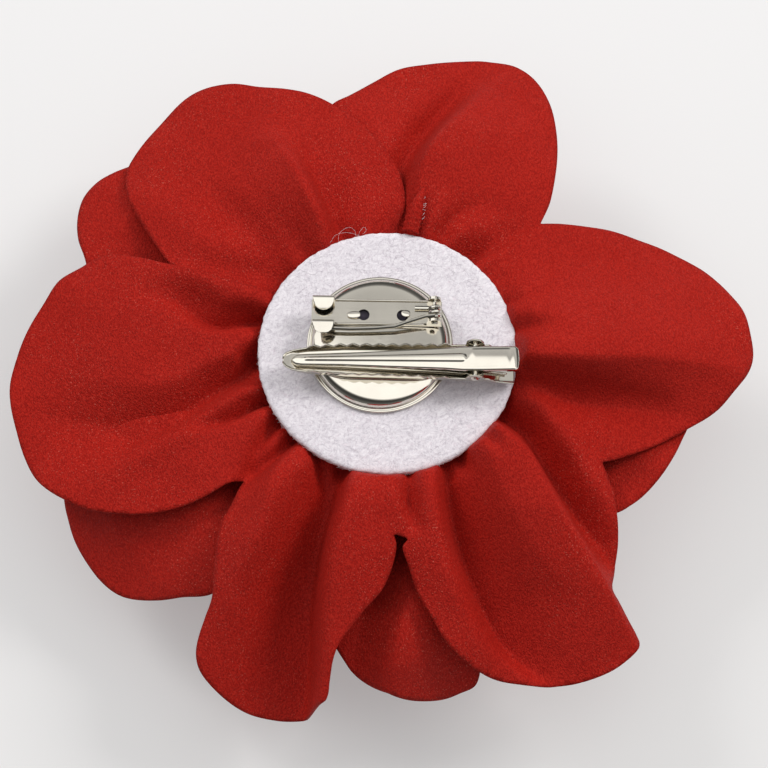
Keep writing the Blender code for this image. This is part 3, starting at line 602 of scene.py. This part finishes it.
def rolled_bud():
    """A strip of the cloth wound on itself, its free edge flared and ruffled."""
    nu, nv = 420, 30
    turns = 3.6
    t = np.linspace(0, 1, nu)
    v = np.linspace(0, 1, nv)
    tt, vv = np.meshgrid(t, v, indexing="ij")
    angle = tt * turns * math.tau
    radius = 2.0 + 8.6 * tt ** 0.85
    flare = 1 + 0.30 * np.sin(vv * math.pi * 0.62) - 0.32 * (1 - vv) ** 3
    petal = np.sin(angle * 0.83) * 0.9 * vv
    r = radius * flare + petal * tt
    z = -15.0 - vv * (14.5 + 2.6 * np.sin(angle * 1.2 + 0.8)) + 1.5 * (1 - tt)
    z = np.maximum(z, -CENTRE[2] + 0.6)
    grid = np.stack([r * np.cos(angle), r * np.sin(angle), z], axis=2)
    return cloth_sheet("bud_cloth", [grid_part(grid, np.exp(-((1 - vv) * 17 / 0.5) ** 2))], "bud")


# ---------------------------------------------------------------- felt


def frayed_flap():
    """Loose tongue of cloth in the upper notch with pale threads along its raw edge."""
    line = spline([(4.6, 25.0, 0.2, 1.5), (5.4, 28.1, 1.5, 1.4), (6.3, 31.0, 2.2, 0.95),
                   (7.3, 33.6, 2.3, 0.2)], 26)
    across = np.linspace(-1, 1, 13)[None, :]
    half = line[:, 3:] * (1 + 0.10 * np.sin(np.arange(26)[:, None] * 1.9))
    grid = np.stack([line[:, :1] + half * across, line[:, 1:2] - 0.25 * half * across,
                     line[:, 2:3] + 0.6 * (1 - across ** 2) * half], axis=2)
    flap = make("notch_flap", (grid + CENTRE).reshape(-1, 3), grid_faces(26, 13, 0).tolist(), CREPE)
    thicken(flap, 0.3, 0.0)
    frays = []
    for p in grid[8:, -1]:
        for _ in range(RNG.integers(0, 3)):
            reach, rise, slip = RNG.uniform(0.2, 0.8), RNG.uniform(-0.1, 0.3), RNG.uniform(-0.2, 0.7)
            frays.append([p + np.array([reach * t, slip * t * t, 0.1 + rise * t])
                          for t in np.linspace(0, 1, 5)])
    hairs("flap_frays", frays, 0.022, fibre())


def felt_disc():
    rings = [0, 4, 8, 12, 16, 19, 21.5, 23.2, 24.2, 24.7, 24.93, 24.98, 24.9, 24.6, 22, 12]
    heights = [0, 0, 0, 0, 0, 0, 0, 0, -0.03, -0.14, -0.4, -0.95, -1.45, -1.72, -1.8, -1.8]
    n = 220
    a = np.linspace(0, math.tau, n, endpoint=False)
    verts = []
    for k, (r, z) in enumerate(zip(rings, heights)):
        wobble = 0.05 * np.sin(a * 61 + k) + 0.05 * np.sin(a * 97 + 2 * k) + 0.05 * np.sin(a * 23)
        rr = r + (wobble if r > 24 else 0)
        x, y = 0.2 + rr * np.cos(a), 0.3 + rr * np.sin(a)
        verts.append(np.stack([x, y, z + 0.05 * wander(x, y, 4.0, 9)], axis=1))
    faces = []
    for k in range(len(rings) - 1):
        for i in range(n):
            j = (i + 1) % n
            faces.append((k * n + i, k * n + j, (k + 1) * n + j, (k + 1) * n + i))
    verts = np.vstack(verts) + CENTRE
    bottom = (len(rings) - 1) * n
    faces.append(tuple(bottom + i for i in range(n)))
    obj = make("felt_cloth", verts, [f[::-1] for f in faces], FELT, "flower")
    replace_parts(obj, "felt_backing")
    return clean(obj, 0.00001)


def hairs(name, paths, radius, mat):
    """Thin fibres as three-sided tubes in one mesh."""
    verts, faces = [], []
    for path in paths:
        path = np.asarray(path)
        base = len(verts)
        tangent = np.gradient(path, axis=0)
        side = np.cross(tangent, [0.13, 0.21, 0.97])
        side /= np.linalg.norm(side, axis=1)[:, None] + 1e-9
        other = np.cross(tangent, side)
        other /= np.linalg.norm(other, axis=1)[:, None] + 1e-9
        for p, s, o in zip(path, side, other):
            for k in range(3):
                c = math.tau * k / 3
                verts.append(p + radius * (math.cos(c) * s + math.sin(c) * o))
        for i in range(len(path) - 1):
            for k in range(3):
                m = (k + 1) % 3
                faces.append((base + 3 * i + k, base + 3 * i + m, base + 3 * i + 3 + m, base + 3 * i + 3 + k))
    return make(name, np.array(verts) + CENTRE, faces, mat, "flower")


def felt_fibres():
    paths = []
    for _ in range(1500):
        r, a = 25 * math.sqrt(RNG.uniform(0, 1)), RNG.uniform(0, math.tau)
        heading = RNG.uniform(0, math.tau)
        length = RNG.uniform(0.7, 2.6)
        bend = RNG.uniform(-1.6, 1.6)
        x, y = r * math.cos(a), r * math.sin(a)
        path = []
        for t in np.linspace(0, 1, 5):
            h = heading + bend * t
            path.append((x, y, 0.03 + 0.10 * math.sin(math.pi * t) * (length / 2.6)))
            x += math.cos(h) * length / 4
            y += math.sin(h) * length / 4
        if all(math.hypot(p[0], p[1]) < 24.8 for p in path):
            paths.append(path)
    for _ in range(260):
        a = RNG.uniform(0, math.tau)
        out = RNG.uniform(0.15, 0.45)
        turn = RNG.uniform(-0.03, 0.03)
        z = RNG.uniform(-1.4, -0.05)
        paths.append([((24.6 + out * t) * math.cos(a + turn * t * t),
                       (24.6 + out * t) * math.sin(a + turn * t * t),
                       z + 0.25 * t * RNG.uniform(-1, 1)) for t in np.linspace(0, 1, 4)])
    return hairs("felt_fibres", paths, 0.016, fibre())


def stray_hairs():
    """A few loose fibres caught between the felt and the cloth."""
    lines = [[(-9.3, 22.8, -0.6), (-9.2, 24.8, 0.3), (-7.4, 25.9, 0.9), (-6.2, 25.2, 0.8), (-6.0, 24.4, 0.2)],
             [(-5.6, 24.0, -0.4), (-5.2, 25.2, 0.4), (-4.4, 26.0, 0.7), (-3.9, 25.4, 0.6), (-4.6, 24.8, 0.2)],
             [(-11.5, 22.0, -0.4), (-10.0, 24.4, 0.3), (-7.6, 24.9, 0.6), (-5.2, 24.4, 0.1)]]
    return hairs("stray_fibres", [spline(line, 26) for line in lines], 0.02, fibre())


# ---------------------------------------------------------------- hardware finish


def dress(node, mat, bevel=0.0):
    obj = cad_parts[node]
    obj.data.materials.clear()
    obj.data.materials.append(mat)
    if bevel:
        mod = obj.modifiers.new("edge", "BEVEL")
        mod.width = bevel * MM
        mod.segments = 2
        mod.limit_method = "ANGLE"
        mod.angle_limit = math.radians(38)
        mod.harden_normals = True
    return obj


HARDWARE_TURN = math.radians(-1.0)
CLIP_Y = -3.6
CATCH_X = -12.2
PIVOT = (16.9, 5.5)


def on_hardware(points):
    """Hardware drawing position to world millimetres."""
    p = np.asarray(points, float).copy()
    c, s = math.cos(HARDWARE_TURN), math.sin(HARDWARE_TURN)
    p[..., 0], p[..., 1] = c * p[..., 0] - s * p[..., 1], s * p[..., 0] + c * p[..., 1]
    return p + CENTRE


def grid_piece(name, grid, mat, body, closed=False):
    """Smooth surface through a grid of points; closed joins the last column to the first."""
    nu, nv = grid.shape[:2]
    faces = grid_faces(nu, nv, 0).tolist()
    if closed:
        faces += [(i * nv + nv - 1, (i + 1) * nv + nv - 1, (i + 1) * nv, i * nv) for i in range(nu - 1)]
    obj = make(name, on_hardware(grid).reshape(-1, 3), faces, mat, body)
    return clean(obj, 0.000004)


def thicken(obj, thickness, offset=-1.0):
    mod = obj.modifiers.new("sheet", "SOLIDIFY")
    mod.thickness = thickness * MM
    mod.offset = offset
    return obj


def pad_dish():
    """Polished dish with a soft shoulder and rolled rim, two dark discs of painted shade at its lanced holes,
    and their bent tongues.
    """
    profile = [(0.0, 3.10), (3.0, 3.085), (6.0, 3.045), (8.6, 2.975), (10.6, 2.86), (11.7, 2.64),
               (12.45, 2.24), (12.95, 1.7), (13.2, 1.15), (13.3, 0.82), (13.5, 0.68), (13.82, 0.70),
               (14.02, 0.58), (14.02, 0.36), (13.8, 0.16), (13.3, 0.06), (12.8, 0.06)]
    line = spline(profile, 120)
    n = 220
    a = np.linspace(0, math.tau, n, endpoint=False)
    grid = np.zeros((len(line), n, 3))
    grid[..., 0] = -1.3 + line[:, :1] * np.cos(a)
    grid[..., 1] = 1.45 + line[:, :1] * np.sin(a)
    grid[..., 2] = line[:, 1:]
    pad = grid_piece("pad_dish", grid, NICKEL, "flower", closed=True)
    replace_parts(pad, "mounting_pad")
    # dark discs over the pad at each lanced hole: painted shade standing in for the hollow
    for k, (x, y) in enumerate([(-4.5, 6.2), (2.6, 6.4)]):
        ring = np.linspace(0, math.tau, 32, endpoint=False)
        hole = [[(x + r * math.cos(t), y + r * math.sin(t), z) for t in ring]
                for r, z in [(1.12, 3.13), (1.08, 3.12), (0.5, 3.12), (0.02, 3.12)]]
        grid_piece(f"pad_hole_painted_shade_{k}", np.array(hole), SHADE, "flower", closed=True)
    for k, (x, y, way, size) in enumerate([(-6.35, 6.05, -1, 1.25), (3.6, 6.5, 1, 0.85)]):
        u = np.linspace(0, math.pi, 14)
        v = np.linspace(0, math.tau, 28, endpoint=False)
        uu, vv = np.meshgrid(u, v, indexing="ij")
        along = np.cos(uu) * size
        tongue = np.stack([x + way * along, y + np.sin(uu) ** 0.7 * np.cos(vv) * 0.72,
                           4.14 + 0.22 * np.sin(uu) * np.sin(vv) + 0.10 * along ** 2 - 0.13 * along], axis=2)
        grid_piece(f"pad_tongue_{k}", tongue, NICKEL, "flower", closed=True)


def catch_covers():
    """Curled sheet over each catch ear, and the turned-up long edges of the bar."""
    for k, edge in enumerate((9.2, 4.2)):
        reach = spline([(edge + 0.06, 4.2), (edge + 0.08, 5.6), (edge - 0.12, 6.18), (edge - 0.55, 6.34),
                        (edge - 1.2, 6.20), (edge - 1.9, 5.92), (edge - 2.6, 5.86)], 40)
        half = np.interp(reach[:, 0], [edge - 2.62, edge - 2.5, edge - 2.0, edge - 1.2, edge - 0.5],
                         [0.3, 0.95, 1.6, 1.95, 2.1])
        x = CATCH_X + np.linspace(-1, 1, 25)[None, :] * half[:, None]
        grid = np.stack([x, np.broadcast_to(reach[:, :1], x.shape),
                         np.broadcast_to(reach[:, 1:], x.shape)], axis=2)
        thicken(grid_piece(f"catch_cover_{k}", grid, NICKEL, "flower"), 0.12)
    for k, (y, start, end) in enumerate([(9.13, -10.0, 10.3), (4.27, -10.0, 7.2)]):
        line = np.column_stack([np.linspace(start, end, 30), np.full(30, y), np.full(30, 4.02)])
        grid_piece(f"bar_lip_{k}", tube(line, 0.17, 10), NICKEL, "flower", closed=True)


def half_width(x, table):
    return np.interp(x, *zip(*table))


UPPER_PLAN = [(-17.95, 0.25), (-17.8, 0.62), (-17.3, 0.98), (-16.4, 1.15), (-8.7, 1.32), (0.7, 1.75),
              (11.0, 2.2), (14.5, 2.48), (18.0, 2.52), (24.5, 2.45), (25.0, 2.2), (25.3, 1.75), (25.4, 1.4)]
LOWER_PLAN = [(-19.7, 0.35), (-19.55, 0.85), (-19.1, 1.4), (-18.0, 1.9), (-15.0, 2.35), (-8.0, 2.8),
              (6.0, 3.0), (14.5, 3.3), (21.5, 3.3), (24.4, 3.05)]


def upper_roof(x):
    top = 5.0 + (x + 17.8) * 0.0665
    tip = np.clip((-15.9 - x) / 2.05, 0, 1)
    tail = np.clip((x - 24.2) / 1.2, 0, 1)
    return top - 0.55 * tip ** 2.2 - 0.75 * tail ** 2.2


def upper_shell():
    """Tapered upper jaw: crowned roof with a pressed rib, rolled edges, pivot ears and curled tail."""
    x = np.concatenate([np.linspace(-17.95, -15.6, 24), np.linspace(-15.4, 24.0, 150),
                        np.linspace(24.1, 25.4, 18)])
    corner = 0.5
    sections = []
    for xi in x:
        w = half_width(xi, UPPER_PLAN)
        rc = min(corner, w * 0.6)
        top = upper_roof(xi)
        bottom = np.interp(xi, [-17.95, -15.8, 0.0, 13.5, 15.5, 18.3, 20.0, 25.4],
                           [4.35, 4.5, 4.7, 5.2, 5.2, 5.2, 6.3, 6.6])
        if abs(xi - PIVOT[0]) < 1.5:
            bottom = min(bottom, PIVOT[1] - math.sqrt(1.5 ** 2 - (xi - PIVOT[0]) ** 2))
        flat = np.linspace(-1, 1, 61) * (w - rc)
        rib_half = np.interp(xi, [-15.6, 14.4], [0.26, 0.74])
        reach = np.abs(flat) if xi < 14.4 else np.hypot(flat, xi - 14.4)
        rib = 0.30 * (1 - step(reach, rib_half - 0.16, rib_half + 0.20)) * step(xi, -16.0, -14.6)
        panel = 0.10 * step(xi, 15.8, 16.8) * (1 - step(xi, 23.0, 23.8))
        panel = panel * (1 - step(np.abs(flat), 1.55, 1.95))
        z = top - 0.20 * (flat / w) ** 2 + rib + panel
        a = np.linspace(0, math.pi / 2, 7)[1:]
        side_y, side_z = w - rc + rc * np.sin(a), z[-1] - rc + rc * np.cos(a)
        wall = np.linspace(side_z[-1], min(bottom, side_z[-1] - 0.05), 8)[1:]
        left = [(-w, v) for v in wall[::-1]] + list(zip(-side_y[::-1], side_z[::-1]))
        right = list(zip(side_y, side_z)) + [(w, v) for v in wall]
        section = np.array(left + list(zip(flat, z)) + right)
        sections.append(np.column_stack([np.full(len(section), xi), CLIP_Y + section[:, 0], section[:, 1]]))
    shell = grid_piece("clip_upper_shell", np.array(sections), NICKEL, "clip_jaw")
    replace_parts(thicken(shell, 0.4), "clip_upper_jaw")


def tooth_height(x):
    start, pitch = 12.4, 2.5
    phase = ((start - x) / pitch) % 1.0
    tooth = 4.75 + 1.05 * (1 - np.abs(phase - 0.5) * 2) ** 0.9
    return np.where((x < start) & (x > start - 11 * pitch), tooth, 4.85)


def lower_shell():
    """Toothed lower jaw: a channel with flared ears and a dropped finger plate."""
    x = np.concatenate([np.linspace(-19.7, -15.2, 40), np.linspace(-15.1, 12.4, 331),
                        np.linspace(12.5, 24.4, 100)])
    sections = []
    for xi in x:
        w = half_width(xi, LOWER_PLAN)
        floor_z = np.interp(xi, [-19.7, -18.4, -16.6, 18.6, 24.4], [4.25, 4.05, 3.45, 3.45, 1.5])
        top = float(tooth_height(np.array(xi)))
        if xi < -15.1:
            top = np.interp(xi, [-19.7, -17.8, -15.1], [4.35, 4.55, 4.75])
        if xi > 12.4:
            top = np.interp(xi, [12.4, 13.4, 19.6, 21.0, 24.4], [4.85, 5.0, 5.0, 3.6, 2.0])
            if abs(xi - PIVOT[0]) < 1.75:
                top = max(top, PIVOT[1] + math.sqrt(1.75 ** 2 - (xi - PIVOT[0]) ** 2))
        rc = min(0.5, w * 0.5)
        a = np.linspace(0, math.pi / 2, 6)
        curve_y, curve_z = w - rc + rc * np.sin(a), floor_z + rc - rc * np.cos(a)
        wall = np.linspace(curve_z[-1], max(top, curve_z[-1] + 0.05), 9)[1:]
        flat = np.linspace(-1, 1, 15)[1:-1] * (w - rc)
        lean = 0.12 * (wall - curve_z[-1])
        half = list(zip(curve_y, curve_z)) + list(zip(w + lean, wall))
        section = [(-p, q) for p, q in half[::-1]] + [(f, floor_z) for f in flat] + half
        section = np.array(section)
        sections.append(np.column_stack([np.full(len(section), xi), CLIP_Y + section[:, 0], section[:, 1]]))
    shell = grid_piece("clip_lower_shell", np.array(sections), NICKEL, "flower")
    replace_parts(thicken(shell, 0.3, 0.0), "clip_lower_jaw")


def tube(points, radius, sides=12):
    """Grid of rings along a path for a round wire; radius may vary along it."""
    p = np.asarray(points, float)
    tangent = np.gradient(p, axis=0)
    tangent /= np.linalg.norm(tangent, axis=1)[:, None]
    side = np.cross(tangent[0], (0.0, 0.0, 1.0))
    side /= np.linalg.norm(side)
    radii = np.broadcast_to(radius, len(p))
    a = np.linspace(0, math.tau, sides, endpoint=False)
    rings = []
    for q, t, r in zip(p, tangent, radii):
        side = side - t * side.dot(t)
        side /= np.linalg.norm(side)
        up = np.cross(t, side)
        rings.append(q + r * (np.cos(a)[:, None] * side + np.sin(a)[:, None] * up))
    rings = [np.repeat(p[:1], sides, axis=0)] + rings + [np.repeat(p[-1:], sides, axis=0)]
    return np.array(rings)


def jaw_spring():
    """Torsion spring round the pin; its legs press the two finger plates apart."""
    turns = 5.25
    t = np.linspace(0, 1, 170)
    a = math.radians(-35) - t * turns * math.tau
    coil = np.stack([PIVOT[0] + 0.9 * np.cos(a), CLIP_Y - 1.5 + 3.0 * t, PIVOT[1] + 0.9 * np.sin(a)], axis=1)
    left, right = CLIP_Y - 1.5, CLIP_Y + 1.5
    low = spline([(23.0, left, 2.75), (20.5, left, 3.6), (18.4, left, 4.5), coil[0]], 26)
    high = spline([coil[-1], (18.6, right, 6.1), (20.6, right, 6.45), (22.8, right, 6.75)], 26)
    path = np.vstack([low[:-1], coil, high[1:]])
    obj = grid_piece("clip_spring_wire", tube(path, 0.22, 10), STEEL, None, closed=True)
    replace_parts(obj, "clip_spring")
    on_hardware(path[0]) * MM
    on_hardware(path[-1]) * MM
    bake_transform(obj)
    return obj


back_petals()
second_petals()
cup_petals("petal_cloth_third", "petals_third",
           [(7, -10.6), (22, -11.1), (36, -15.5), (45, -23.0), (49, -33.0)], 0, 40, 50)
cup_petals("petal_cloth_inner", "petals_inner",
           [(7, -12.6), (15, -13.5), (24, -18.0), (29, -24.0), (31, -32.6)], 30, 42, 70, nu=60, nv=50)
rolled_bud()
felt_disc()
felt_fibres()
stray_hairs()
frayed_flap()
pad_dish()
catch_covers()
upper_shell()
lower_shell()
jaw_spring()
dress("brooch_bar", NICKEL, 0.16)
for name in ("brooch_hinge_rivet", "brooch_needle", "clip_pivot_pin"):
    dress(name, STEEL)
glue = plain("milky_glue", (0.72, 0.68, 0.55), (0.86, 0.83, 0.74), 200, 0.35)
thread = plain("red_sewing_thread", (0.25, 0.01, 0.01), (0.42, 0.03, 0.025), 3000, 0.7)
board = plain("pressed_board", (0.6, 0.56, 0.5), (0.78, 0.75, 0.68), 500, 0.9)
for name in ("felt_glue", "front_glue", "pad_glue"):
    dress(name, glue)
for name in ("gathering_thread_back", "gathering_thread_second", "gathering_thread_front"):
    dress(name, thread)
dress("stiffener_disc", board)

# ---------------------------------------------------------------- floor, light, camera


def floor():
    mesh = bpy.data.meshes.new("floor")
    reach, drop = 6, -0.0002
    square = [(x * reach, y * reach, drop) for x, y in ((-1, -1), (1, -1), (1, 1), (-1, 1))]
    mesh.from_pydata(square, [], [(0, 1, 2, 3)])
    g = Graph("pale_floor_painted_light")
    # painted light fall-off: the floor colour is darker towards the bottom of the picture
    along = g.node("ShaderNodeSeparateXYZ", {0: g.coord}).outputs["Y"]
    place = g.math("ADD", g.math("MULTIPLY", along, 3.2), 0.5, True)
    tone = g.ramp(place, [(0.1, (0.46, 0.455, 0.455)), (0.9, (0.53, 0.525, 0.53))])
    # the floor glows faintly: painted light that lightens the shadows cast on it
    g.set(Base_Color=tone, Roughness=0.7, Specular_IOR_Level=0.15, Emission_Color=(0.97, 0.97, 0.97, 1.0),
          Emission_Strength=0.32)
    mesh.materials.append(g.mat)
    obj = bpy.data.objects.new("floor", mesh)
    bpy.context.scene.collection.objects.link(obj)


def area(name, place, target, size, power, colour=(1, 1, 1)):
    data = bpy.data.lights.new(name, "AREA")
    data.shape = "RECTANGLE"
    data.size, data.size_y = size
    data.energy = power
    data.color = colour
    obj = bpy.data.objects.new(name, data)
    obj.location = place
    obj.rotation_euler = (Vector(target) - Vector(place)).to_track_quat("-Z", "Y").to_euler()
    obj.visible_glossy = False
    bpy.context.scene.collection.objects.link(obj)


def studio():
    """Top-weighted soft dome, a banded room seen only in reflections, and two crossed soft keys."""
    world = bpy.data.worlds.new("studio")
    world.use_nodes = True
    tree = world.node_tree

    def node(kind, *inputs, **props):
        made = tree.nodes.new(kind)
        for key, value in props.items():
            setattr(made, key, value)
        for slot, value in zip(made.inputs, inputs):
            if isinstance(value, bpy.types.NodeSocket):
                tree.links.new(value, slot)
            else:
                slot.default_value = value
        return made.outputs

    def calc(operation, a, b=0.0):
        return node("ShaderNodeMath", a, b, operation=operation)[0]

    split = node("ShaderNodeSeparateXYZ", tree.nodes.new("ShaderNodeTexCoord").outputs["Generated"])
    slant = calc("ADD", split["Y"], calc("MULTIPLY", split["X"], 0.5))
    angle = calc("ARCTAN2", slant, split["Z"])
    place = calc("ADD", calc("DIVIDE", angle, math.pi), 0.5)
    ramp = tree.nodes.new("ShaderNodeValToRGB")
    tree.links.new(place, ramp.inputs[0])
    stops = [(-85, 0.12), (-60, 0.04), (-46, 0.04), (-38, 0.30), (-30, 1.0), (15, 1.0), (19, 0.92),
             (22, 0.36), (34, 0.44), (44, 0.46), (54, 0.12), (70, 0.05), (85, 0.10)]
    elements = ramp.color_ramp.elements
    while len(elements) < len(stops):
        elements.new(0.5)
    for element, (degrees, value) in zip(elements, stops):
        element.position = degrees / 180 + 0.5
        element.color = (value, value, value * 0.99, 1)
    glossy = tree.nodes.new("ShaderNodeLightPath").outputs["Is Glossy Ray"]
    high = calc("ADD", calc("MULTIPLY", split["Y"], 0.24), calc("MULTIPLY", split["Z"], 0.85))
    soft = node("ShaderNodeMapRange", high, 0.05, 1.0, 0.0, 1.95)[0]
    level = tree.nodes.new("ShaderNodeMix")
    inputs = {0: glossy, 2: calc("MULTIPLY", soft, AMBIENT), 3: calc("MULTIPLY", ramp.outputs[0], GLINT)}
    for slot, value in inputs.items():
        tree.links.new(value, level.inputs[slot])
    tree.links.new(level.outputs[0], tree.nodes["Background"].inputs[1])
    tree.nodes["Background"].inputs[0].default_value = (1.0, 0.995, 0.985, 1.0)
    bpy.context.scene.world = world
    area("key_right", (1.50, 0.80, 1.40), (0, 0, 0.02), (0.7, 0.7), KEY, (1.0, 0.985, 0.96))
    area("key_left", (-1.35, 1.15, 1.50), (0, 0, 0.02), (0.7, 0.7), KEY * LEFT_KEY_SHARE, (1.0, 0.99, 0.98))


def camera():
    data = bpy.data.cameras.new("camera")
    obj = bpy.data.objects.new("camera", data)
    up = Vector((0, math.sin(LENS_TILT), math.cos(LENS_TILT)))
    back = Vector((0, -math.cos(LENS_TILT), math.sin(LENS_TILT)))
    target = Vector(CENTRE * MM) - Vector((AIM_LEFT, 0, 0)) - up * AIM_BELOW
    obj.location = target + back * LENS_DISTANCE
    obj.rotation_euler = (-back).to_track_quat("-Z", "Y").to_euler()
    data.sensor_width = 36
    data.lens = LENS_LENGTH
    data.clip_start = 0.01
    bpy.context.scene.collection.objects.link(obj)
    bpy.context.scene.camera = obj


floor()
studio()
camera()
bpy.context.scene.view_settings.view_transform = "Standard"
